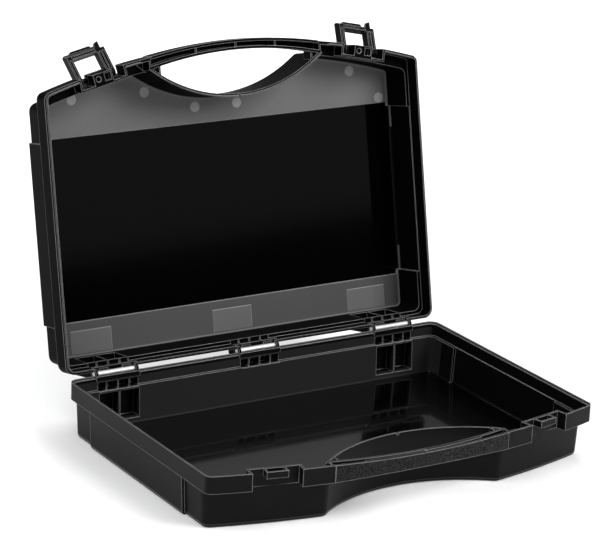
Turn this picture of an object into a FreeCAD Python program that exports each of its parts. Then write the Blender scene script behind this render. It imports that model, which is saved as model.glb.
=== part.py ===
import FreeCAD, Part
import math
import os
import re
import Sketcher

# Hard tool case with a bowed front, moulded carrying handle, two flip latches and three pin hinges.
# Lengths in millimetres. X runs across the case, the hinge side is at +Y, +Z is up.
# The origin lies in the middle of the face that the base rests on.
# The lid is drawn shut and then turned open.

doc = FreeCAD.newDocument("tool_case")
sheet = doc.addObject("Spreadsheet::Sheet", "dims")

sizes = {
    # outer form of both halves
    "bodyWidth": 340,
    "bodyDepth": 242,
    "bowRadius": 575,
    "frontCorner": 6,
    "footCorner": 8,
    "rearCorner": 8,
    "baseHeight": 44,
    "lidHeight": 41,
    "bandHeight": 13.5,
    "bandStep": 3,
    "draftAngle": 3,
    "quarterTurn": 90,
    "baseRound": 3,
    "lidRound": 5,
    "bulgeRear": 35.5,
    "bulgeFront": 178,
    "bulgeStep": 0.8,
    "rimGap": 0.3,
    # walls and floor
    "wall": 2.5,
    "floorThick": 2.6,
    "ledgeDepth": 11.2,
    "floorRound": 2,
    "panelSink": 0.8,
    "panelInset": 7.2,
    "panelRear": 34.2,
    "panelFront": 178.8,
    "lipThick": 1.2,
    "lipDepth": 1.5,
    "lipClear": 0.3,
    "markRadius": 4.5,
    "markSink": 0.3,
    "padWidth": 36,
    "padDepth": 18,
    "padRise": 0.4,
    "padSet": 9,
    # scoop behind the handle
    "scoopRadius": 123.5,
    "scoopOut": 83.5,
    "scoopRound": 7,
    "scoopCrease": 1.5,
    "scoopNick": 1.6,
    # handle
    "gripHalf": 76,
    "gripProud": 2.5,
    "gripOuterRadius": 416,
    "gripInset": 5.6,
    "gripInnerRadius": 329,
    "gripHeight": 13.2,
    "gripArch": 2.4,
    "gripWall": 2.2,
    "gripRibPlace": 36,
    "gripRibThick": 1.4,
    "gripLand": 1.4,
    "landStart": 52,
    "landDepth": 3,
    "strutPlace": 69,
    "strutThick": 1.3,
    "gripEnd": 1.4,
    "hollowRun": 14,
    # latch notches and their blocks
    "latchAngle": 12,
    "notchWidth": 38,
    "notchDepth": 9,
    "notchWall": 1.6,
    "blockWidth": 16.5,
    "blockSet": 0.3,
    "blockRise": 3.6,
    "catchHeight": 5.2,
    "catchSet": 1,
    "blockMark": 2.2,
    "blockWall": 1.4,
    "blockPocket": 3.6,
    # latches
    "pivotHeight": 11.7,
    "pivotDepth": 4.3,
    "latchHalf": 3.8,
    "latchClear": 1,
    "latchReach": 25,
    "latchShort": 21,
    "latchLeft": 15.2,
    "latchShift": 2.5,
    "latchFlip": 115,
    "windowWidth": 22,
    "windowReach": 17.7,
    "barRadius": 2.1,
    "runClear": 0.08,
    "snapSlot": 3.4,
    "latchSkin": 1.4,
    "latchRib": 1,
    "cornerCut": 1.6,
    "endCut": 3.2,
    "endDrop": 4.6,
    "stopRise": 4.3,
    "stopThick": 0.8,
    "stopWidth": 3,
    "lipLeft": 9,
    "lipRight": 10,
    "lipFlare": 1.2,
    "lipReach": 0.9,
    "lipRoot": 3.5,
    "lipDeep": 2.2,
    "hornLeft": 9.8,
    "hornRight": 14.8,
    "hornReach": 1.2,
    "hornSlant": 1.4,
    # hinges
    "hingeBack": 2,
    "hingeUp": 0.5,
    "openAngle": 102,
    "stationInset": 42.3,
    "pinRadius": 1.9,
    "pinChamfer": 0.3,
    "pinProud": 0.6,
    "hookRadius": 3.75,
    "hookPlace": 10,
    "hookWidth": 7,
    "hookMiddle": 9,
    "mouthStart": 70,
    "mouthEnd": 195,
    "lugThick": 2.2,
    "lugPlace": 17.6,
    "sweepClear": 0.45,
    "bracketGap": 4.5,
    "bracketOut": 6,
    "bracketShy": 0.6,
    "bracketWall": 1.4,
    "cellPitch": 10,
    "cellHalf": 17.5,
    "cellRib": 1.2,
    "windowTop": 5.3,
    "windowLow": 12,
    "stripThick": 0.9,
    "stripDepth": 4.2,
    # standing feet behind the two outer hinges
    "footOut": 6,
    "footShort": 4,
    "footWall": 2,
    # length by which cuts run past the face they start from
    "overrun": 2,
}

for row, (alias, value) in enumerate(sizes.items(), start=1):
    sheet.set(f"A{row}", alias)
    sheet.set(f"B{row}", str(value))
    sheet.setAlias(f"B{row}", alias)
doc.recompute()

# places as shares of the width and depth of the case
markShares = ((0.3765, -0.358), (0.188, -0.358), (0.057, -0.293), (0.456, -0.256))
padShares = (-0.375, 0.003, 0.381)


def bound(text):
    """Turn a formula in the sheet's own names into one that other objects can read."""
    return re.sub(r"[A-Za-z]\w*", lambda word: f"dims.{word[0]}" if word[0] in sizes else word[0], text)


bowY = "(bowRadius - bodyDepth / 2)"
scoopY = "(-bodyDepth / 2 - scoopOut)"
gripOuterY = "(gripOuterRadius - gripProud - bodyDepth / 2)"
gripInnerY = "(gripInnerRadius + gripInset - bodyDepth / 2)"
hingeY = "(bodyDepth / 2 + hingeBack)"
hingeZ = "(baseHeight + hingeUp)"
stationX = "(bodyWidth / 2 - stationInset)"


def number(text):
    return float(sheet.evalExpression(text))


def selfCheck(feature):
    if feature.Shape.isNull() or not feature.Shape.isValid() or "Invalid" in feature.State:
        raise RuntimeError(f"{feature.Label} is not a valid shape")


def originPlane(body, role):
    return next(item for item in body.Origin.OriginFeatures if item.Role == role)


def sketchOn(body, name, role, height="0", turn=None):
    """Sketch on one of the body's own planes, moved along its normal by the height.

    With a turn, it is swung about the vertical axis through the centre of the bow."""
    sketch = body.newObject("Sketcher::SketchObject", name)
    sketch.AttachmentSupport = [(originPlane(body, role), "")]
    sketch.MapMode = "FlatFace"
    if turn:
        flat = role == "XY_Plane"
        axis = FreeCAD.Vector(0, 0, 1) if flat else FreeCAD.Vector(0, 1, 0)
        sketch.AttachmentOffset = FreeCAD.Placement(FreeCAD.Vector(), FreeCAD.Rotation(axis, 1))
        sketch.setExpression(".AttachmentOffset.Base.y" if flat else ".AttachmentOffset.Base.x", bound(bowY))
        sketch.setExpression(".AttachmentOffset.Rotation.Angle", bound(turn))
    sketch.setExpression(".AttachmentOffset.Base.z", bound(height))
    return sketch


def bindConstraint(sketch, constraint, formula):
    index = sketch.addConstraint(constraint)
    sketch.setExpression(f"Constraints[{index}]", bound(formula))


def addLoop(sketch, corners):
    """Closed loop. Each corner is (x, y) or (x, y, radius, bulge): then an arc runs from it to the next.

    The bulge is 1 where the arc's centre lies on the left of the way to the next corner, else -1."""
    first = sketch.GeometryCount
    count = len(corners)
    ends = []
    for index, corner in enumerate(corners):
        follower = corners[(index + 1) % count]
        start = FreeCAD.Vector(number(corner[0]), number(corner[1]), 0)
        end = FreeCAD.Vector(number(follower[0]), number(follower[1]), 0)
        if len(corner) == 2:
            sketch.addGeometry(Part.LineSegment(start, end), False)
            ends.append((1, 2))
            continue
        radius = number(corner[2])
        across = end - start
        rise = math.sqrt(max(radius ** 2 - across.Length ** 2 / 4, 0))
        left = FreeCAD.Vector(-across.y, across.x, 0).normalize()
        centre = (start + end) / 2 + left * rise * corner[3]
        circle = Part.Circle(centre, FreeCAD.Vector(0, 0, 1), radius)
        angles = [math.atan2(point.y - centre.y, point.x - centre.x) for point in (start, end)]
        forward = corner[3] > 0
        sketch.addGeometry(Part.ArcOfCircle(circle, *(angles if forward else angles[::-1])), False)
        ends.append((1, 2) if forward else (2, 1))
    for index, corner in enumerate(corners):
        item = first + index
        follower = (index + 1) % count
        sketch.addConstraint(Sketcher.Constraint("Coincident", item, ends[index][1],
                                                 first + follower, ends[follower][0]))
        begin = ends[index][0]
        for kind, formula in (("DistanceX", corner[0]), ("DistanceY", corner[1])):
            bindConstraint(sketch, Sketcher.Constraint(kind, -1, 1, item, begin, number(formula)), formula)
        if len(corner) > 2:
            bindConstraint(sketch, Sketcher.Constraint("Radius", item, number(corner[2])), corner[2])


def addCircle(sketch, x, y, radius):
    item = sketch.addGeometry(Part.Circle(FreeCAD.Vector(number(x), number(y), 0),
                                          FreeCAD.Vector(0, 0, 1), number(radius)), False)
    bindConstraint(sketch, Sketcher.Constraint("DistanceX", -1, 1, item, 3, number(x)), x)
    bindConstraint(sketch, Sketcher.Constraint("DistanceY", -1, 1, item, 3, number(y)), y)
    bindConstraint(sketch, Sketcher.Constraint("Radius", item, number(radius)), radius)


def rectangle(left, right, near, far):
    return [(left, near), (right, near), (right, far), (left, far)]


def addOutlines(sketch, outlines):
    """An outline is either a list of corners or the centre and radius of a circle."""
    for outline in outlines:
        if isinstance(outline, tuple):
            addCircle(sketch, *outline)
        else:
            addLoop(sketch, outline)


def build(body, name, kind, sketch, length, down=None, taper=None):
    """Pad or Pocket of a sketch, with its volume compared with the body's volume before it.

    Down is True or False for the way along the sketch's normal, and None for both ways alike."""
    before = body.Shape.Volume if body.Tip else 0
    feature = body.newObject(f"PartDesign::{kind}", name)
    feature.Profile = sketch
    feature.setExpression("Length", bound(length))
    if down is None:
        feature.SideType = "Symmetric"
    else:
        feature.Reversed = down if kind == "Pad" else not down
    if taper:
        feature.setExpression("TaperAngle", bound(taper))
    feature.Refine = False
    doc.recompute()
    change = feature.Shape.Volume - before
    if (kind == "Pad" and change <= 0) or (kind == "Pocket" and change >= 0):
        raise RuntimeError(f"{name} goes the wrong way: {change:.1f}")
    return feature


def roundEdges(body, name, radius, height):
    """Round every edge of the body that lies flat at the given height."""
    base = body.Tip
    place = number(height)
    near = number("runClear")
    names = [f"Edge{index}" for index, edge in enumerate(base.Shape.Edges, start=1)
             if abs(edge.BoundBox.ZMin - place) < near and abs(edge.BoundBox.ZMax - place) < near]
    feature = body.newObject("PartDesign::Fillet", name)
    feature.Base = (base, names)
    feature.setExpression("Radius", bound(radius))
    doc.recompute()
    selfCheck(feature)
    return feature


def arcAt(centre, radius, x):
    """Height of the front arc about (0, centre) at the place x."""
    return f"({centre} - sqrt(({radius})^2 - ({x})^2))"


def crossing(radius, otherY, otherRadius, centre=None):
    """Place where the front arc crosses the scoop's circle, on the right."""
    centre = centre or bowY
    y = f"(({centre}^2 - {otherY}^2 - ({radius})^2 + ({otherRadius})^2) / (2 * ({centre} - {otherY})))"
    x = f"sqrt(({otherRadius})^2 - ({y} - {otherY})^2)"
    return f"({x})", y


def planLoop(inset, corners, scoop=None, blend=None, front=None):
    """Plan outline set in from the rim: straight back and sides, bowed front, with or without the scoop.

    Corners are the radii of the front and the rear ones. The front may be set in by its own amount."""
    nose, tail = corners
    half = f"(bodyWidth / 2 - ({inset}))"
    rear = f"(bodyDepth / 2 - ({inset}))"
    bow = f"(bowRadius - ({front or inset}))"
    noseX = f"({half} - ({nose}))"
    noseY = arcAt(bowY, f"{bow} - ({nose})", noseX)
    tailX = f"({half} - ({tail}))"
    tailY = f"({rear} - ({tail}))"
    share = f"({bow} / ({bow} - ({nose})))"
    bowEndX = f"({noseX} * {share})"
    bowEndY = f"({bowY} + ({noseY} - {bowY}) * {share})"
    right = [(bowEndX, bowEndY, nose, 1), (half, noseY), (half, tailY, tail, 1), (tailX, rear)]
    left = [(f"-{tailX}", rear, tail, 1), (f"-{half}", tailY)]
    left += [(f"-{half}", noseY, nose, 1), (f"-{bowEndX}", bowEndY, bow, 1)]
    if not scoop:
        return right + left
    blendX, blendY = crossing(f"{bow} - ({blend})", scoopY, f"{scoop} + ({blend})")
    bowShare = f"({bow} / ({bow} - ({blend})))"
    scoopShare = f"(({scoop}) / ({scoop} + ({blend})))"
    frontX = f"({blendX} * {bowShare})"
    frontY = f"({bowY} + ({blendY} - {bowY}) * {bowShare})"
    backX = f"({blendX} * {scoopShare})"
    backY = f"({scoopY} + ({blendY} - {scoopY}) * {scoopShare})"
    middle = [(f"-{frontX}", frontY, blend, 1), (f"-{backX}", backY, scoop, -1)]
    middle += [(backX, backY, blend, 1), (frontX, frontY, bow, 1)]
    return right + left + middle


def sectionLoop(halfTop, halfLow, top, low, edge):
    """Cross section of a trough with leaning sides and rounded far edges."""
    way = "+" if number(low) < number(top) else "-"
    run = f"({edge} / tan((quarterTurn + draftAngle) / 2))"
    sideX = f"({halfLow} + {run} * sin(draftAngle))"
    sideZ = f"({low} {way} {run} * cos(draftAngle))"
    flatX = f"({halfLow} - {run})"
    turn = 1 if way == "+" else -1
    return [(f"-{flatX}", low), (flatX, low, edge, turn), (sideX, sideZ), (halfTop, top),
            (f"-{halfTop}", top), (f"-{sideX}", sideZ, edge, turn)]


class Moulder:
    """Draws features into one body of a case half, by depth from the rim plane of that half."""

    def __init__(self, label, rim, away):
        self.body = doc.addObject("PartDesign::Body", label)
        self.body.Label = label
        self.body.AllowCompound = True
        self.rim = rim
        self.away = away
        self.down = away == "-"

    def level(self, depth):
        return f"({self.rim} {self.away} ({depth}))"

    def plan(self, name, kind, outlines, start, length, taper=None, turn=None):
        """Feature drawn in plan, running away from the rim from the given depth."""
        sketch = sketchOn(self.body, f"{name}Sketch", "XY_Plane", self.level(start), turn)
        addOutlines(sketch, outlines)
        return build(self.body, name, kind, sketch, length, self.down, taper)

    def across(self, name, kind, outlines, near, back):
        """Feature drawn in the X and Z plane, running in Y from near to back."""
        sketch = sketchOn(self.body, f"{name}Sketch", "XZ_Plane", f"-(({near}) + ({back})) / 2")
        addOutlines(sketch, outlines)
        return build(self.body, name, kind, sketch, f"({back}) - ({near})")

    def along(self, name, kind, outlines, width, place="0", turn=None):
        """Feature drawn in the Y and Z plane, as wide as given about its place along X."""
        sketch = sketchOn(self.body, f"{name}Sketch", "YZ_Plane", place, turn)
        addOutlines(sketch, outlines)
        return build(self.body, name, kind, sketch, width)

    def combine(self, name, kind, other):
        feature = self.body.newObject("PartDesign::Boolean", name)
        feature.setObjects([other.body])
        feature.Type = kind
        doc.recompute()
        selfCheck(feature)
        return feature


def caseHalf(label, rim, away, height, edge, sink, bracketOut):
    """One moulded half, from its rim plane away to its outer face."""
    down = away == "-"
    tongue = not down
    far = f"({rim} {away} {height})"
    floor = f"({rim} {away} ({height} - floorThick))"
    lean = "tan(draftAngle)"
    shell = Moulder(label, rim, away)
    fills = Moulder(f"{label}_fills", rim, away)
    cuts = Moulder(f"{label}_cuts", rim, away)
    inserts = Moulder(f"{label}_inserts", rim, away)
    level = shell.level

    # outer form
    shell.plan("lowerWall", "Pad",
               [planLoop("bandStep", ("footCorner", "rearCorner"), "scoopRadius", "scoopRound",
                         "notchDepth")],
               "bandHeight", f"{height} - bandHeight", taper="-draftAngle")
    roundEdges(shell.body, "outerRound", edge, far)
    bulgeHalf = "(bodyWidth / 2 - bulgeStep)"
    bulgeLow = f"({bulgeHalf} - ({height} - bandHeight) * {lean})"
    bulgeNear = "bodyDepth / 2 - bulgeFront"
    bulgeFar = "bodyDepth / 2 - bulgeRear"
    shell.across("bulge", "Pad", [sectionLoop(bulgeHalf, bulgeLow, level("bandHeight"), far, edge)],
                 bulgeNear, bulgeFar)
    shell.plan("band", "Pad", [planLoop("0", ("frontCorner", "rearCorner"))], "0", "bandHeight")
    frontY = arcAt(gripOuterY, "gripOuterRadius", "gripHalf")
    backY = "(gripInset * 2 - bodyDepth / 2)"
    shell.plan("gripFront", "Pad",
               [[("-gripHalf", frontY, "gripOuterRadius", 1), ("gripHalf", frontY),
                 ("gripHalf", backY), ("-gripHalf", backY)]], "0", "gripHeight")
    # inside
    bandCorners = ("(frontCorner - wall)", "(rearCorner - wall)")
    lowCorners = ("(footCorner - wall)", "(rearCorner - wall)")
    shell.plan("bandCavity", "Pocket", [planLoop("wall", bandCorners, "(scoopRadius + wall)", "scoopCrease")],
               "0", "ledgeDepth")
    shell.plan("lowerCavity", "Pocket",
               [planLoop("(bandStep + wall)", lowCorners, "(scoopRadius + wall)", "(scoopRound - wall)",
                         "(notchDepth + wall)")],
               "ledgeDepth", f"{height} - ledgeDepth - floorThick", taper="-draftAngle")
    roundEdges(shell.body, "floorRound", "floorRound", floor)
    hollowHalf = f"({bulgeHalf} - wall)"
    hollowLow = f"({hollowHalf} - ({height} - ledgeDepth - floorThick) * {lean})"
    panelFloor = f"({floor} {away} ({sink}))"
    shell.across("bulgeCavity", "Pocket",
                 [sectionLoop(hollowHalf, hollowLow, level("ledgeDepth"), panelFloor, "floorRound")],
                 f"{bulgeNear} + wall", f"{bulgeFar} - wall")
    if number(sink) > 0:
        panelHalf = "(bodyWidth / 2 - panelInset)"
        shell.plan("sunkPanel", "Pocket",
                   [rectangle(f"-{panelHalf}", panelHalf, "bodyDepth / 2 - panelFront",
                              "bodyDepth / 2 - panelRear")], f"{height} - floorThick", sink)
    # finger gap behind the grip, the arch under the grip and the hollow in it
    gapX, gapY = crossing("gripInnerRadius", scoopY, "scoopRadius", gripInnerY)
    shell.plan("fingerGap", "Pocket",
               [[(f"-{gapX}", gapY, "gripInnerRadius", 1), (gapX, gapY, "scoopRadius", 1)]],
               "0", "bandHeight + overrun")
    archX = "(gripHalf - gripWall)"
    archRadius = f"(({archX}^2 + gripArch^2) / (2 * gripArch))"
    archTurn = -1 if away == "-" else 1
    archEnd = level("bandHeight + overrun")
    archSide = [(f"-{archX}", level("gripHeight"), archRadius, archTurn), (archX, level("gripHeight")),
                (archX, archEnd), (f"-{archX}", archEnd)]
    shell.across("gripArch", "Pocket", [archSide], "-bodyDepth / 2 - gripProud - overrun",
                 "gripInset + gripInset + gripWall - bodyDepth / 2")
    channelX = "(gripHalf + gripEnd / 2)"
    channelOuter = "gripOuterRadius - gripWall"
    channelInner = "gripInnerRadius + gripWall"
    channel = [(f"-{channelX}", arcAt(gripOuterY, channelOuter, channelX), channelOuter, 1),
               (channelX, arcAt(gripOuterY, channelOuter, channelX)),
               (channelX, arcAt(gripInnerY, channelInner, channelX), channelInner, -1),
               (f"-{channelX}", arcAt(gripInnerY, channelInner, channelX))]
    shell.plan("gripChannel", "Pocket", [channel], "0", "gripHeight - gripArch - gripWall")

    # rim: a rebate in the base takes the tongue of the lid, which stops at the latches and hinges
    lipPlans = [planLoop(f"({inset})", (f"(frontCorner - ({inset}))", f"(rearCorner - ({inset}))"),
                         f"(scoopRadius + {inset})", f"(scoopCrease + wall - ({inset}))")
                for inset in ("wall - lipThick", "wall - lipThick + lipClear", "wall")]
    stations = (f"-{stationX}", "0", stationX)
    turns = ("-latchAngle", "latchAngle")
    if tongue:
        shell.plan("rimTongue", "Pad", lipPlans[1:], "-lipDepth", "lipDepth")
        hingeGaps = [rectangle(f"{place} - cellHalf - bracketWall - lipClear",
                               f"{place} + cellHalf + bracketWall + lipClear",
                               "bodyDepth / 2 - wall - overrun", "bodyDepth / 2") for place in stations]
        shell.plan("tongueHingeGaps", "Pocket", hingeGaps, "-lipDepth - overrun", "lipDepth + overrun")
        halfGap = "(notchWidth / 2 + notchWall + lipClear)"
        for side, turn in zip("LR", turns):
            shell.plan(f"tongueLatchGap{side}", "Pocket",
                       [rectangle(f"-{halfGap}", halfGap, "-bowRadius - overrun", "notchDepth - bowRadius")],
                       "-lipDepth - overrun", "lipDepth + overrun", turn=turn)
    else:
        shell.plan("rimRebate", "Pocket", lipPlans[:1], "0", "lipDepth")

    # hollows beside the grip, thin walls and struts of the grip, nick in the rim of the scoop
    innerX = "(gripHalf + gripEnd * 3 / 2)"
    outerX = "(gripHalf + gripEnd * 3 / 2 + hollowRun)"
    nearY = f"({scoopY} + sqrt((scoopRadius + wall)^2 - {innerX}^2))"
    bow = "(bowRadius - wall)"
    innerY = arcAt(bowY, bow, innerX)
    outerY = arcAt(bowY, bow, outerX)
    shell.plan("sideHollows", "Pocket",
               [[(innerX, innerY, bow, 1), (outerX, outerY), (outerX, nearY), (innerX, nearY)],
                [(f"-{outerX}", outerY, bow, 1), (f"-{innerX}", innerY), (f"-{innerX}", nearY),
                 (f"-{outerX}", nearY)]], "-lipDepth", "bandHeight - wall + lipDepth")
    ribPlaces = ["0"] if not tongue else ["-gripRibPlace", "0", "gripRibPlace"]
    for index, place in enumerate(ribPlaces, start=1):
        shell.along(f"gripRib{index}", "Pad",
                    [rectangle(arcAt(gripOuterY, "gripOuterRadius - gripWall / 2", place),
                               arcAt(gripInnerY, "gripInnerRadius + gripWall / 2", place),
                               level("rimGap"), level("gripHeight - gripArch - gripWall / 2"))],
                    "gripRibThick", place)
    strutNear = arcAt(gripInnerY, "gripInnerRadius + gripWall / 2", "strutPlace")
    strutFar = f"({scoopY} + sqrt((scoopRadius + wall / 4)^2 - strutPlace^2))"
    shell.plan("struts", "Pad",
               [rectangle(f"{side}strutPlace - strutThick / 2", f"{side}strutPlace + strutThick / 2",
                          strutNear, strutFar) for side in ("-", "")], "0", "gripHeight - gripArch")
    shell.across("scoopNick", "Pocket",
                 [rectangle("-scoopNick / 2", "scoopNick / 2", level("-overrun"), level("lipDepth"))],
                 f"{scoopY} + scoopRadius - overrun", f"{scoopY} + scoopRadius + wall + overrun")
    if not tongue:
        # lands along the front wall of the grip on the left and along its rear wall on the right
        edges = ((gripOuterY, "gripOuterRadius - gripWall / 2", "gripOuterRadius - gripWall - gripLand", "-"),
                 (gripInnerY, "gripInnerRadius + gripWall + gripLand", "gripInnerRadius + gripWall / 2", ""))
        for index, (centre, near, back, side) in enumerate(edges, start=1):
            first, last = ("-landStart", "0") if side else ("0", "landStart")
            shell.plan(f"gripLand{index}", "Pad",
                       [[(first, arcAt(centre, near, first), near, 1), (last, arcAt(centre, near, last)),
                         (last, arcAt(centre, back, last), back, -1), (first, arcAt(centre, back, first))]],
                       "0", "landDepth")

    # latch notches with the blocks in their middle
    front = "(0 - bowRadius)"
    notchBack = "(notchDepth - bowRadius)"
    for side, turn in zip("LR", turns):
        fills.along(f"notchBox{side}", "Pad",
                    [rectangle(f"{front} + wall / 2", f"{notchBack} + notchWall", level("0"),
                               level("bandHeight"))], "notchWidth + 2 * notchWall", turn=turn)
        cuts.along(f"notch{side}", "Pad",
                   [rectangle(f"{front} - overrun", notchBack, level("-overrun"), level("bandHeight"))],
                   "notchWidth", turn=turn)
        blockFront = f"({front} + blockSet)" if tongue else f"({front} + catchSet)"
        blockHeight = "pivotHeight + blockRise" if tongue else "catchHeight"
        inserts.along(f"block{side}", "Pad",
                      [rectangle(blockFront, f"{notchBack} + notchWall / 2", level("0"), level(blockHeight))],
                      "blockWidth", turn=turn)
        if tongue:
            pivotY = f"({front} + pivotDepth)"
            seat = "(barRadius + runClear)"
            mouthY = f"({pivotY} - sqrt({seat}^2 - (snapSlot / 2)^2))"
            mouthLow = level("pivotHeight - snapSlot / 2")
            mouthHigh = level("pivotHeight + snapSlot / 2")
            inserts.along(f"pivotSeat{side}", "Pocket",
                          [[(f"{front} - overrun", mouthLow), (mouthY, mouthLow, seat, 1),
                            (f"{pivotY} + {seat}", level("pivotHeight"), seat, 1), (mouthY, mouthHigh),
                            (f"{front} - overrun", mouthHigh)]], "blockWidth + overrun", turn=turn)
            pocket = rectangle("blockWall", "blockWidth / 2 - blockWall", f"{blockFront} + blockWall",
                               f"{notchBack} - blockWall")
            for count, way in enumerate(("-", ""), start=1):
                middle = f"({way}(windowWidth + notchWidth) / 4)"
                inserts.plan(f"flipStop{side}{count}", "Pad",
                             [rectangle(f"{middle} - stopWidth / 2", f"{middle} + stopWidth / 2",
                                        pivotY, f"{notchBack} + wall / 2")],
                             "pivotHeight + stopRise", "stopThick", turn=turn)
            inserts.plan(f"blockMark{side}", "Pocket",
                         [("-blockWidth / 4", f"({blockFront} + {notchBack}) / 2", "blockMark")],
                         "0", "markSink", turn=turn)
        else:
            pocket = rectangle("blockWall - blockWidth / 2", "blockWidth / 2 - blockWall",
                               f"{blockFront} + blockWall", f"{notchBack} - blockWall / 2")
        inserts.plan(f"blockPocket{side}", "Pocket", [pocket], "0", "blockPocket", turn=turn)

    # hinge stations on the rear wall: clearance for the other half, strip, bracket with cells, hooks and lugs
    rear = "(bodyDepth / 2)"
    stationWidth = "(cellHalf + bracketWall) * 2"
    sweep = "hookRadius + sweepClear"
    bracketTop = f"({hingeZ} {away} bracketGap)"
    for index, place in enumerate(stations, start=1):
        fills.along(f"strip{index}", "Pad",
                    [rectangle(f"{rear} - wall - stripThick", f"{rear} - wall / 3", level("0"),
                               level("stripDepth"))], stationWidth, place)
        fills.along(f"bracket{index}", "Pad",
                    [rectangle(f"{rear} - wall / 2", f"{rear} + {bracketOut}", bracketTop,
                               level("windowLow + bracketWall"))], stationWidth, place)
        if place != "0":
            fills.along(f"foot{index}", "Pad",
                        [rectangle(f"{rear} - bandStep - footWall", f"{rear} + footOut",
                                   level("windowLow"), level(f"{height} - footShort"))], stationWidth, place)
    cellEdges = (("-cellHalf", "-cellPitch - cellRib / 2"), ("cellRib / 2 - cellPitch", "-cellRib / 2"),
                 ("cellRib / 2", "cellPitch - cellRib / 2"), ("cellPitch + cellRib / 2", "cellHalf"))
    cuts.across("windows", "Pad",
                [rectangle(f"{place} + {left}", f"{place} + {right}", level("windowTop"), level("windowLow"))
                 for place in stations for left, right in cellEdges],
                f"{rear} - wall - stripThick - overrun", f"{rear} + {bracketOut} - bracketWall")
    cuts.across("footCells", "Pad",
                [rectangle(f"{place} + {left}", f"{place} + {right}", level("windowLow + bracketWall"),
                           level(f"{height} - footShort - footWall - footWall / 2"))
                 for place in (stations[0], stations[2])
                 for left, right in (("-cellHalf", "-cellRib / 2"), ("cellRib / 2", "cellHalf"))],
                f"{rear} - bandStep - bandStep - wall", f"{rear} + footOut - footWall")

    def onRing(radius, angle):
        """Point on a circle about the hinge line; angles run from +Y towards the other half."""
        return f"({hingeY} + ({radius}) * cos({angle}))", f"({hingeZ} {other} ({radius}) * sin({angle}))"

    other = "+" if down else "-"
    turnWay = 1 if down else -1
    stemY = f"({hingeY} + pinRadius)"
    stemZ = f"({hingeZ} {away} sqrt(hookRadius^2 - pinRadius^2))"
    rootY = f"({rear} - wall / 2)"
    rootZ = f"({bracketTop} {away} bracketWall / 2)"
    if tongue:
        hookPlaces, hookSize, bore = ["0"], "hookMiddle", "pinRadius"
        sweptPlaces = [(shift, "hookWidth") for shift in ("-hookPlace", "hookPlace")]
    else:
        hookPlaces, hookSize, bore = ["-hookPlace", "hookPlace"], "hookWidth", "(pinRadius + runClear)"
        sweptPlaces = [("0", "hookMiddle"), ("-lugPlace", "lugThick"), ("lugPlace", "lugThick")]
    hook = [(*onRing("hookRadius", "mouthStart"), "hookRadius", -turnWay), (stemY, stemZ), (stemY, rootZ),
            (rootY, rootZ), onRing("hookRadius", "mouthEnd"), (*onRing(bore, "mouthEnd"), bore, turnWay),
            (*onRing(bore, "mouthEnd + quarterTurn"), bore, turnWay), onRing(bore, "mouthStart")]
    lug = [(stemY, stemZ), (stemY, rootZ), (rootY, rootZ),
           (*onRing("hookRadius", "mouthEnd"), "hookRadius", -turnWay),
           (*onRing("hookRadius", "mouthStart"), "hookRadius", -turnWay)]
    for index, place in enumerate(stations, start=1):
        for count, (shift, size) in enumerate(sweptPlaces, start=1):
            cuts.along(f"relief{index}{count}", "Pad", [(hingeY, hingeZ, sweep)], f"{size} + 2 * sweepClear",
                       f"{place} + {shift}")
        for count, shift in enumerate(hookPlaces, start=1):
            inserts.along(f"hook{index}{count}", "Pad", [hook], hookSize, f"{place} + {shift}")
        if tongue:
            for count, side in enumerate(("-", ""), start=1):
                inserts.along(f"lug{index}{count}", "Pad", [lug, (hingeY, hingeZ, "pinRadius")], "lugThick",
                              f"{place} + {side}lugPlace")

    shell.combine("filled", "Fuse", fills)
    shell.combine("opened", "Cut", cuts)
    shell.combine("fitted", "Fuse", inserts)

    # marks of the mould inside the lid
    if tongue:
        floorDepth = f"({height} - floorThick)"
        spots = [(f"{side}{x} * bodyWidth", f"{y} * bodyDepth", "markRadius")
                 for x, y in markShares for side in ("-", "")]
        shell.plan("floorMarks", "Pocket", [*spots], floorDepth, "markSink")
        pads = [rectangle(f"{x} * bodyWidth - padWidth / 2", f"{x} * bodyWidth + padWidth / 2",
                          f"{rear} - padSet - padDepth", f"{rear} - padSet") for x in padShares]
        shell.plan("floorPads", "Pad", pads, f"{floorDepth} - padRise", "padRise")
    return shell.body


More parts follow.
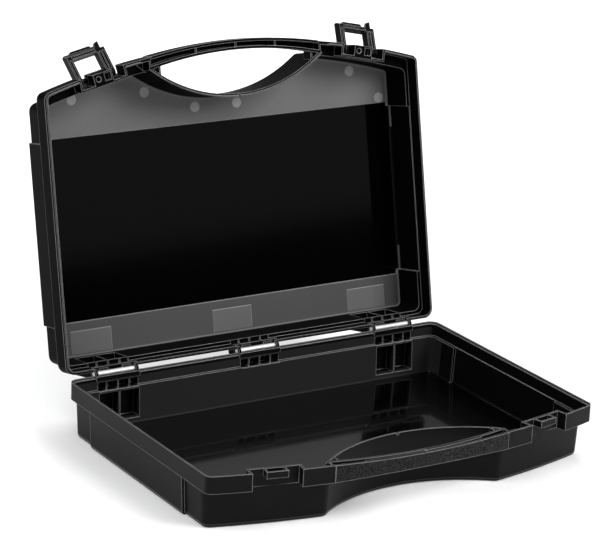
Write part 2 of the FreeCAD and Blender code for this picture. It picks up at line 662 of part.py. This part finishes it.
def latchBody(label):
    """Frame-shaped latch with its own pivot bar, drawn shut: X along the case, Y inwards, Z up."""
    body = doc.addObject("PartDesign::Body", label)
    body.Label = label
    halfWidth = "(notchWidth / 2 - latchClear)"
    halfWindow = "(windowWidth / 2)"

    def draw(name, kind, role, outlines, length, place="0"):
        sketch = sketchOn(body, f"{name}Sketch", role, place)
        addOutlines(sketch, outlines)
        return build(body, name, kind, sketch, length)

    draw("frame", "Pad", "YZ_Plane",
         [[("-latchHalf", "-latchReach"), ("latchHalf", "-latchShort"), ("latchHalf", "0", "latchHalf", 1),
           ("0", "latchHalf", "latchHalf", 1), ("-latchHalf", "0")]],
         f"{halfWidth} + latchLeft", f"({halfWidth} - latchLeft) / 2")
    draw("window", "Pocket", "XZ_Plane",
         [rectangle(f"-{halfWindow}", halfWindow, "-windowReach", "latchHalf + overrun")],
         "(latchHalf + overrun) * 2")
    draw("pivotBar", "Pad", "YZ_Plane", [("0", "0", "barRadius")], "windowWidth + overrun")
    draw("endCuts", "Pocket", "XZ_Plane",
         [[("-latchLeft", "cornerCut - latchReach"), ("-latchLeft - overrun", "cornerCut - latchReach"),
           ("-latchLeft - overrun", "-latchReach - overrun"),
           ("cornerCut - latchLeft", "-latchReach - overrun"), ("cornerCut - latchLeft", "-latchReach")],
          rectangle(f"{halfWidth} - endCut", f"{halfWidth} + overrun", "-latchReach - overrun",
                    "endDrop - latchReach")], "(latchHalf + overrun) * 2")
    # hollows open to the inside, with thin ribs between them
    armNear = f"({halfWindow} + latchSkin)"
    armFar = f"({halfWidth} - latchSkin)"
    armSplit = f"({halfWindow} / 2 + {halfWidth} / 2)"
    hollows = [rectangle("latchSkin - latchLeft", f"-{armNear}", "-windowReach", "-barRadius"),
               rectangle(armNear, f"{armSplit} - latchRib / 2", "-windowReach", "-barRadius"),
               rectangle(f"{armSplit} + latchRib / 2", armFar, "-windowReach", "-barRadius"),
               rectangle(f"-{halfWindow}", halfWindow, "latchRib - latchShort", "-windowReach - latchRib")]
    draw("hollows", "Pocket", "XZ_Plane", hollows, "latchHalf * 2 - latchSkin + overrun",
         "-(latchSkin + overrun) / 2")
    # finger lip at the free end on the outer side and horn on the inner side
    lip = [("-lipLeft", "lipRoot - latchReach"), ("-lipLeft", "-latchReach"),
           ("lipFlare - lipLeft", "-latchReach - lipReach"),
           ("lipRight - lipFlare", "-latchReach - lipReach"),
           ("lipRight", "-latchReach"), ("lipRight", "lipRoot - latchReach")]
    draw("lip", "Pad", "XZ_Plane", [lip], "lipDeep", "latchHalf - lipDeep / 2")
    horn = [("hornLeft", "lipRoot - latchShort"), ("hornLeft", "-latchShort"),
            ("hornLeft + hornSlant", "-latchReach"), ("hornRight", "-latchReach - hornReach"),
            ("hornRight", "lipRoot - latchShort")]
    last = draw("horn", "Pad", "XZ_Plane", [horn], "lipDeep", "lipDeep / 2 - latchHalf")
    last.Refine = True
    return body


def pinBody(label):
    """Plain hinge pin with broken end edges, lying along X."""
    body = doc.addObject("PartDesign::Body", label)
    body.Label = label
    sketch = sketchOn(body, "pinSketch", "YZ_Plane")
    addCircle(sketch, "0", "0", "pinRadius")
    pad = build(body, "pin", "Pad", sketch, "lugPlace * 2 + lugThick + pinProud * 2")
    edges = [f"Edge{index}" for index, edge in enumerate(pad.Shape.Edges, start=1)
             if isinstance(edge.Curve, Part.Circle)]
    chamfer = body.newObject("PartDesign::Chamfer", "pinEnds")
    chamfer.Base = (pad, edges)
    chamfer.setExpression("Size", bound("pinChamfer"))
    doc.recompute()
    return body


lidRim = "(baseHeight + rimGap)"
caseHalf("base_shell", "baseHeight", "-", "baseHeight", "baseRound", "0", "bracketOut")
caseHalf("lid_shell", lidRim, "+", "lidHeight", "lidRound", "panelSink", "(bracketOut - bracketShy)")
latchBody("latch_left")
latchBody("latch_right")
for label in ("hinge_pin_left", "hinge_pin_centre", "hinge_pin_right"):
    pinBody(label)


def step(x, y, z, axis, angle):
    return f"placement(vector({x}; {y}; {z}); rotation(vector({axis}); {angle}))"


openLid = [step("0", hingeY, hingeZ, "1; 0; 0", "-openAngle"),
           step("0", f"-{hingeY}", f"-{hingeZ}", "1; 0; 0", "0")]
pivotZ = f"{lidRim} + pivotHeight"
# the left latch has slid along its bar towards the side wall, almost as far as the block lets it
flips = [step(shift, "pivotDepth - bowRadius", pivotZ, "1; 0; 0", "-latchFlip")
         for shift in ("-latchShift", "0")]
places = {
    "lid_shell": openLid,
    "latch_left": openLid + [step("0", bowY, "0", "0; 0; 1", "-latchAngle"), flips[0]],
    "latch_right": openLid + [step("0", bowY, "0", "0; 0; 1", "latchAngle"), flips[1]],
    "hinge_pin_left": openLid + [step(f"-{stationX}", hingeY, hingeZ, "1; 0; 0", "0")],
    "hinge_pin_centre": openLid + [step("0", hingeY, hingeZ, "1; 0; 0", "0")],
    "hinge_pin_right": openLid + [step(stationX, hingeY, hingeZ, "1; 0; 0", "0")],
}
nodes = ["base_shell", *places]
for label, chain in places.items():
    doc.getObjectsByLabel(label)[0].setExpression("Placement", bound(" * ".join(chain)))
doc.recompute()

for item in doc.Objects:
    if "Invalid" in item.State or "Error" in item.State:
        raise RuntimeError(f"{item.Label} did not build: {item.State}")
os.makedirs("parts", exist_ok=True)
for label in nodes:
    body = doc.getObjectsByLabel(label)[0]
    selfCheck(body)
    if len(body.Shape.Solids) != 1:
        raise RuntimeError(f"{label} has {len(body.Shape.Solids)} solids")
    body.Shape.exportStep(f"parts/{label}.step")
    box = body.Shape.BoundBox
    print(f"{label}: {body.Shape.Volume / 1000:.2f} cm3, x {box.XMin:.2f} to {box.XMax:.2f}, "
          f"y {box.YMin:.2f} to {box.YMax:.2f}, z {box.ZMin:.2f} to {box.ZMax:.2f}")
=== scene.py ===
import math

import bpy
from mathutils import Matrix, Vector

# Hard tool case standing open: satin black mouldings, polished panels, two flip latches, steel hinge pins
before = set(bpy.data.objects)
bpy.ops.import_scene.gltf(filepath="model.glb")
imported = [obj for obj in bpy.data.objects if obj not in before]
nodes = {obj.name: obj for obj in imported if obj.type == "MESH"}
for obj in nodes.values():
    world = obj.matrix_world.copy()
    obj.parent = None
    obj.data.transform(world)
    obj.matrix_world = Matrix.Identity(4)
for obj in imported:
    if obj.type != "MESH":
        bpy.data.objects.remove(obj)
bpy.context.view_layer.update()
print("frame loaded:", len(nodes), "nodes")


def newMaterial(name):
    material = bpy.data.materials.new(name)
    material.use_nodes = True
    material.node_tree.nodes.clear()
    return material, material.node_tree


def addNode(tree, kind, **values):
    node = tree.nodes.new(kind)
    for key, value in values.items():
        setattr(node, key, value)
    return node


def feed(tree, value, socket):  # a plain value is set on the socket, anything else is linked to it
    if isinstance(value, (int, float, tuple)):
        socket.default_value = value
    else:
        tree.links.new(value, socket)


def calc(tree, operation, *values):
    node = addNode(tree, "ShaderNodeMath", operation=operation)
    for socket, value in zip(node.inputs, values):
        feed(tree, value, socket)
    return node.outputs[0]


def between(tree, value, low, high):
    return calc(tree, "MULTIPLY", calc(tree, "GREATER_THAN", value, low), calc(tree, "LESS_THAN", value, high))


def shift(tree, mask, value, target):  # the value where the mask is 0, the target where it is 1
    return calc(tree, "MULTIPLY_ADD", mask, calc(tree, "SUBTRACT", target, value), value)


def clamp(tree, value):
    return calc(tree, "MINIMUM", calc(tree, "MAXIMUM", value, 0.0), 1.0)


def blendColours(tree, factor, first, second):
    node = addNode(tree, "ShaderNodeMix", data_type="RGBA")
    feed(tree, factor, node.inputs["Factor"])
    feed(tree, first, node.inputs[6])
    feed(tree, second, node.inputs[7])
    return node.outputs[2]


def grey(level):
    return (level, level, level * 1.01, 1)


def noise(tree, place, scale, detail):
    node = addNode(tree, "ShaderNodeTexNoise")
    node.inputs["Scale"].default_value = scale
    node.inputs["Detail"].default_value = detail
    tree.links.new(place, node.inputs["Vector"])
    return node.outputs[0]


# limits are pairs in metres for x, y and z; the lid's count from its hinge line, as if it were shut
casePlastic = dict(
    darkGrey=0.0018, paleGrey=0.0042, rough=0.42, roughSpread=0.10, shine=0.09, polish=0.05,
    grainScale=2600, grainDetail=3, grainDepth=0.00004, cloudScale=14, cloudDetail=5, zoneSpread=0.1,
    # bevel radius and samples, then the grey and strength of the painted edge highlight
    edgeRound=0.0007, edgeSamples=6, edgeHighlightGrey=0.38, edgeHighlightGain=6.0,
)
speckle = dict(coarser=3, detail=2, contrast=6.0, level=-2.6, pale=2)
polishedFloor = dict(grey=0.0006, rough=0.2, grain=0, coat=0.6)

baseShell = dict(casePlastic, zones=(
    dict(polishedFloor, limits=(None, None, (0.0022, 0.0032))),
    dict(grey=0.013, rough=0.6, grain=4, speckle=0.75,  # front of the grip
         limits=((-0.0755, 0.0755), (-0.125, -0.1145), (0.0310, 0.0438))),
    dict(grey=0.018, rough=0.42, grain=1,  # inside of the rear wall: its lighter grey is painted sheen on the same black plastic
         limits=((-0.1655, 0.1655), (0.1000, 0.1192), (0.0040, 0.0400))),
))

lidShell = dict(
    casePlastic, shine=0.01, darkGrey=0.0012, paleGrey=0.0030,
    hinge=dict(place=(0, 0.123, 0.0445), open=102),
    zones=(
        dict(grey=0.080, rough=0.5, grain=1, limits=(None, (-0.06, 0.0), (0.0370, 0.0386))),  # band by the hinges: its lighter grey is painted sheen on the same black plastic
        dict(grey=0.150, rough=0.5, grain=1, limits=(None, (-0.30, -0.16), (0.0370, 0.0386))),  # band by the grip: its lighter grey is painted sheen on the same black plastic
        dict(grey=0.130, rough=0.4, grain=1, limits=(None, (-0.06, 0.0), (0.0370, 0.03805))),  # three pads: real pads, their lighter grey is painted sheen
        dict(polishedFloor, limits=(None, None, (0.0386, 0.0396))),
        dict(grey=0.011, rough=0.5, grain=3, limits=(None, None, (0.0398, 0.0440))),  # outer face: its lighter grey is painted sheen on the same black plastic
    ),
    discs=dict(  # ejector marks, alike on the left and the right; their light disc and rim greys are painted sheen
        places=((0.128, -0.2096), (0.0639, -0.2096), (0.0194, -0.1939), (0.155, -0.185)),
        radius=0.0041, grey=0.34, rim=0.0006, rimSheenGrey=0.07, height=(0.0365, 0.0392),
    ),
)

latches = dict(casePlastic, darkGrey=0.0015, paleGrey=0.003, rough=0.36, shine=0.04)

hingePins = dict(dark=0.62, pale=0.85, rough=0.34, roughSpread=0.15, metal=0.35, streakScale=900, streakStretch=0.04)


def shutPlace(tree, place, hinge):  # the lid's place turned back to where it is when the case is shut
    mapping = addNode(tree, "ShaderNodeMapping", vector_type="TEXTURE")
    mapping.inputs["Location"].default_value = hinge["place"]
    mapping.inputs["Rotation"].default_value = (-math.radians(hinge["open"]), 0, 0)
    tree.links.new(place, mapping.inputs["Vector"])
    return mapping.outputs["Vector"]


def insideBox(tree, axes, limits):
    mask = None  # 1 where the place lies between all the limits given
    for axis, pair in zip(axes.outputs, limits):
        if pair is None:
            continue
        part = between(tree, axis, *pair)
        mask = part if mask is None else calc(tree, "MULTIPLY", mask, part)
    return mask


def zoneTint(tree, place, clouds, look, zone):
    if "speckle" not in zone:
        spread = look["zoneSpread"]
        return blendColours(tree, clouds, grey(zone["grey"] * (1 - spread)), grey(zone["grey"] * (1 + spread)))
    spots = noise(tree, place, look["grainScale"] / speckle["coarser"], speckle["detail"])
    level = clamp(tree, calc(tree, "MULTIPLY_ADD", spots, speckle["contrast"], speckle["level"]))
    dark = grey(zone["grey"] * (1 - zone["speckle"]))
    return blendColours(tree, level, dark, grey(zone["grey"] * speckle["pale"]))


# ejector marks drawn as colour only: the light greys of disc and rim are painted sheen on the black plastic
def addDiscMarksAndSheen(tree, axes, colour, discs):
    across = calc(tree, "ABSOLUTE", axes.outputs[0])
    flat = between(tree, axes.outputs[2], *discs["height"])
    for x, y in discs["places"]:
        sideways = calc(tree, "POWER", calc(tree, "SUBTRACT", across, x), 2.0)
        lengthways = calc(tree, "POWER", calc(tree, "SUBTRACT", axes.outputs[1], y), 2.0)
        far = calc(tree, "SQRT", calc(tree, "ADD", sideways, lengthways))
        for radius, level in ((discs["radius"] + discs["rim"], "rimSheenGrey"), (discs["radius"], "grey")):
            disc = calc(tree, "MULTIPLY", flat, calc(tree, "LESS_THAN", far, radius))
            colour = blendColours(tree, disc, colour, grey(discs[level]))
    return colour


def mouldedFinish(name, look):
    material, tree = newMaterial(name)
    links = tree.links
    out = addNode(tree, "ShaderNodeOutputMaterial")
    shader = addNode(tree, "ShaderNodeBsdfPrincipled")
    links.new(shader.outputs[0], out.inputs[0])
    place = addNode(tree, "ShaderNodeTexCoord").outputs["Object"]
    clouds = noise(tree, place, look["cloudScale"], look["cloudDetail"])
    grain = noise(tree, place, look["grainScale"], look["grainDetail"])
    axes = addNode(tree, "ShaderNodeSeparateXYZ")
    links.new(shutPlace(tree, place, look["hinge"]) if "hinge" in look else place, axes.inputs[0])

    colour = blendColours(tree, clouds, grey(look["darkGrey"]), grey(look["paleGrey"]))
    rough = calc(tree, "MULTIPLY_ADD", clouds, look["roughSpread"], look["rough"] - look["roughSpread"] / 2)
    strength = 1.0
    for zone in look.get("zones", ()):
        mask = insideBox(tree, axes, zone["limits"])
        colour = blendColours(tree, mask, colour, zoneTint(tree, place, clouds, look, zone))
        rough = shift(tree, mask, rough, zone["rough"])
        strength = shift(tree, mask, strength, zone["grain"])
        if "coat" in zone:
            links.new(calc(tree, "MULTIPLY", mask, zone["coat"]), shader.inputs["Coat Weight"])
    if "discs" in look:
        colour = addDiscMarksAndSheen(tree, axes, colour, look["discs"])

    # painted highlight: edges are lightened in the base colour where the bevel normal turns away, standing in for
    # the light that rounded edges catch
    rounded = addNode(tree, "ShaderNodeBevel", samples=look["edgeSamples"])
    rounded.inputs["Radius"].default_value = look["edgeRound"]
    surface = addNode(tree, "ShaderNodeNewGeometry")
    facing = addNode(tree, "ShaderNodeVectorMath", operation="DOT_PRODUCT")
    links.new(rounded.outputs[0], facing.inputs[0])
    links.new(surface.outputs["Normal"], facing.inputs[1])
    turn = calc(tree, "SUBTRACT", 1.0, facing.outputs["Value"])
    paintedEdgeHighlight = calc(tree, "MINIMUM", calc(tree, "MULTIPLY", turn, look["edgeHighlightGain"]), 1.0)
    links.new(blendColours(tree, paintedEdgeHighlight, colour, grey(look["edgeHighlightGrey"])), shader.inputs["Base Color"])

    links.new(rough, shader.inputs["Roughness"])
    shader.inputs["Specular IOR Level"].default_value = look["shine"]
    shader.inputs["Coat Roughness"].default_value = look["polish"]
    bump = addNode(tree, "ShaderNodeBump")
    bump.inputs["Distance"].default_value = look["grainDepth"]
    feed(tree, strength, bump.inputs["Strength"])
    links.new(grain, bump.inputs["Height"])
    links.new(rounded.outputs[0], bump.inputs["Normal"])
    links.new(bump.outputs[0], shader.inputs["Normal"])
    return material


def steelFinish(name, look):
    material, tree = newMaterial(name)
    out = addNode(tree, "ShaderNodeOutputMaterial")
    shader = addNode(tree, "ShaderNodeBsdfPrincipled")
    tree.links.new(shader.outputs[0], out.inputs[0])
    shader.inputs["Metallic"].default_value = look["metal"]
    coords = addNode(tree, "ShaderNodeTexCoord")
    stretch = addNode(tree, "ShaderNodeMapping")
    stretch.inputs["Scale"].default_value = (look["streakStretch"], 1, 1)  # drawn wire: streaks run along the pin
    tree.links.new(coords.outputs["Object"], stretch.inputs["Vector"])
    streaks = addNode(tree, "ShaderNodeTexNoise")
    streaks.inputs["Scale"].default_value = look["streakScale"]
    tree.links.new(stretch.outputs[0], streaks.inputs["Vector"])
    colour = blendColours(tree, streaks.outputs[0], grey(look["dark"]), grey(look["pale"]))
    tree.links.new(colour, shader.inputs["Base Color"])
    rough = calc(tree, "MULTIPLY_ADD", streaks.outputs[0], look["roughSpread"], look["rough"])
    tree.links.new(rough, shader.inputs["Roughness"])
    return material


finishes = {
    "base": mouldedFinish("case_black_base", baseShell),
    "lid": mouldedFinish("case_black_lid", lidShell),
    "latch": mouldedFinish("latch_black", latches),
    "hinge": steelFinish("hinge_pin_steel", hingePins),
}
for name, node in nodes.items():
    for slot in node.material_slots:
        slot.material = finishes[name.split("_")[0]]
print("materials made:", sorted(nodes))


studio = dict(
    floorSize=14, floorGrey=0.85, nearGlow=0.12, farGlow=0.75, glowFrom=0.5, glowTo=2.4,
    airLevel=0.22, airDark=0.0, darkBelow=0.058, paleAbove=0.070,
)


def softStep(tree, value, look, keys):
    step = addNode(tree, "ShaderNodeMapRange", interpolation_type="SMOOTHSTEP")
    tree.links.new(value, step.inputs["Value"])
    for socket, key in enumerate(keys, start=1):
        step.inputs[socket].default_value = look[key]
    return step.outputs[0]


def makeFloor(look):
    half = look["floorSize"] / 2
    mesh = bpy.data.meshes.new("floor")
    mesh.from_pydata([(-half, -half, 0), (half, -half, 0), (half, half, 0), (-half, half, 0)], [], [(0, 1, 2, 3)])
    floor = bpy.data.objects.new("floor", mesh)
    bpy.context.scene.collection.objects.link(floor)
    material, tree = newMaterial("pale_floor")
    out = addNode(tree, "ShaderNodeOutputMaterial")
    paper = addNode(tree, "ShaderNodeBsdfDiffuse")
    paper.inputs[0].default_value = grey(look["floorGrey"])
    glow = addNode(tree, "ShaderNodeEmission")
    both = addNode(tree, "ShaderNodeAddShader")
    rays = addNode(tree, "ShaderNodeLightPath")
    seen = calc(tree, "MAXIMUM", rays.outputs["Is Camera Ray"], rays.outputs["Is Glossy Ray"])
    seen = calc(tree, "MAXIMUM", seen, rays.outputs["Is Transmission Ray"])
    coords = addNode(tree, "ShaderNodeTexCoord")
    away = addNode(tree, "ShaderNodeVectorMath", operation="LENGTH")
    tree.links.new(coords.outputs["Object"], away.inputs[0])
    level = softStep(tree, away.outputs["Value"], look, ("glowFrom", "glowTo", "nearGlow", "farGlow"))
    tree.links.new(calc(tree, "MULTIPLY", seen, level), glow.inputs["Strength"])
    tree.links.new(paper.outputs[0], both.inputs[0])
    tree.links.new(glow.outputs[0], both.inputs[1])
    tree.links.new(both.outputs[0], out.inputs[0])
    mesh.materials.append(material)


def makeAir(look):
    world = bpy.data.worlds.new("studio_air")
    bpy.context.scene.world = world
    world.use_nodes = True
    tree = world.node_tree
    back = tree.nodes["Background"]
    back.inputs[0].default_value = grey(1)
    coords = addNode(tree, "ShaderNodeTexCoord")
    axes = addNode(tree, "ShaderNodeSeparateXYZ")
    tree.links.new(coords.outputs["Generated"], axes.inputs[0])
    # dark at the horizon, as the lid's polished panel shows it
    level = softStep(tree, axes.outputs[2], look, ("darkBelow", "paleAbove", "airDark", "airLevel"))
    tree.links.new(level, back.inputs[1])


softLamps = {
    "overhead_front": dict(place=(0.9, -1.3, 1.35), aim=(0, 0, 0.1), size=1.1, power=38),
    "overhead_left": dict(place=(-1.1, -0.2, 1.7), aim=(0, 0, 0.1), size=1.4, power=24),
    "overhead_back": dict(place=(0.4, 1.3, 1.6), aim=(0, 0, 0.1), size=1.2, power=24),
}


def makeLamp(name, look):
    data = bpy.data.lights.new(name, "AREA")
    data.shape = "SQUARE"
    data.size = look["size"]
    data.energy = look["power"]
    lamp = bpy.data.objects.new(name, data)
    bpy.context.scene.collection.objects.link(lamp)
    lamp.location = look["place"]
    lamp.rotation_euler = (Vector(look["aim"]) - lamp.location).to_track_quat("-Z", "Y").to_euler()


photoCamera = dict(
    place=(-1.06901, -1.62438, 0.77027), round=32.458, down=17.965, tilt=2.584, lens=160.41, sensor=36,
)


def makeCamera(look):
    data = bpy.data.cameras.new("photo_camera")
    data.sensor_width = look["sensor"]
    data.lens = look["lens"]
    camera = bpy.data.objects.new("photo_camera", data)
    bpy.context.scene.collection.objects.link(camera)
    turn = (
        Matrix.Rotation(-math.radians(look["round"]), 4, "Z")
        @ Matrix.Rotation(math.radians(90 - look["down"]), 4, "X")
        @ Matrix.Rotation(math.radians(look["tilt"]), 4, "Z")
    )
    camera.matrix_world = Matrix.Translation(look["place"]) @ turn
    bpy.context.scene.camera = camera


makeFloor(studio)
makeAir(studio)
for name, look in softLamps.items():
    makeLamp(name, look)
makeCamera(photoCamera)
bpy.context.scene.view_settings.view_transform = "Standard"
print("studio set")
